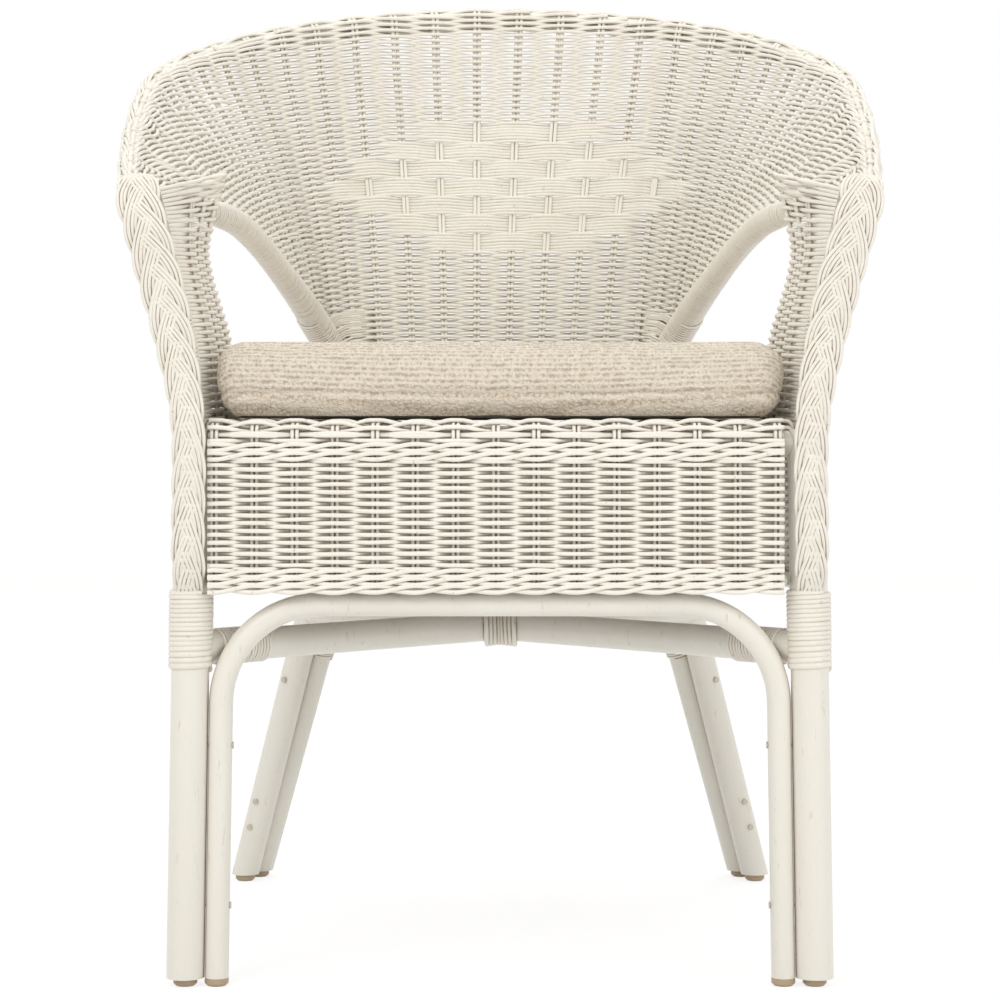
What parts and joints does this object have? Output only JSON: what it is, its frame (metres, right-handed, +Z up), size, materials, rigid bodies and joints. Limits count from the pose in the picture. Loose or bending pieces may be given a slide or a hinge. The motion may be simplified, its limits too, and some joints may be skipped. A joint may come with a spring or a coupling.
{
  "type": "wicker armchair",
  "caption": "Wicker armchair with a flared woven shell back, hoop legs, crossed braces and a loose seat cushion.",
  "frame": {"origin": "middle of the floor box: halfway across, halfway from front to back, on the floor", "axes": "+Z up, +X to the right as seen from the front, +Y from the front towards the back"},
  "size_m": [0.619, 0.537, 0.8123],
  "materials": {
    "rattan_pole": "satin",
    "woven_rattan": "satin",
    "cane": "satin",
    "cushion_cover": "matt",
    "cushion_base": "matt",
    "foam": "matt",
    "glides": "satin",
    "nails": "satin"
  },
  "bodies": {
    "chair": {"apron_ring_front": "rattan_pole", "apron_ring_left": "rattan_pole", "apron_ring_rear": "rattan_pole", "apron_ring_right": "rattan_pole", "apron_weave_front": "woven_rattan", "apron_weave_left": "woven_rattan", "apron_weave_rear": "woven_rattan", "apron_weave_right": "woven_rattan", "arm_panel_left": "woven_rattan", "arm_panel_right": "woven_rattan", "arm_pole_left": "rattan_pole", "arm_pole_right": "rattan_pole", "arm_pole_wrap_left": "cane", "arm_pole_wrap_right": "cane", "back_edge_pole_left": "rattan_pole", "back_edge_pole_right": "rattan_pole", "back_edge_wrap_left": "cane", "back_edge_wrap_right": "cane", "back_weave": "woven_rattan", "brace_bindings": "cane", "cross_brace_lower": "rattan_pole", "cross_brace_upper": "rattan_pole", "foot_glides": "glides", "frame_nails": "nails", "front_hoop": "rattan_pole", "front_leg_left": "rattan_pole", "front_leg_right": "rattan_pole", "front_plait_left": "woven_rattan", "front_plait_right": "woven_rattan", "leg_bindings": "cane", "rear_hoop": "rattan_pole", "rear_leg_left": "rattan_pole", "rear_leg_right": "rattan_pole", "rim_plait": "woven_rattan", "rim_pole": "rattan_pole", "seat_bar_front": "rattan_pole", "seat_bar_rear": "rattan_pole", "seat_rail_front": "rattan_pole", "seat_rail_left": "rattan_pole", "seat_rail_rear": "rattan_pole", "seat_rail_right": "rattan_pole", "seat_weave": "woven_rattan"},
    "cushion": {"cushion_base": "cushion_base", "cushion_cover": "cushion_cover", "cushion_foam": "foam"}
  },
  "joints": [
    {"name": "cushion_lift", "type": "slide", "parent": "chair", "child": "cushion", "axis": [0, 0, 1], "range_m": [0, 0.42]}
  ]
}
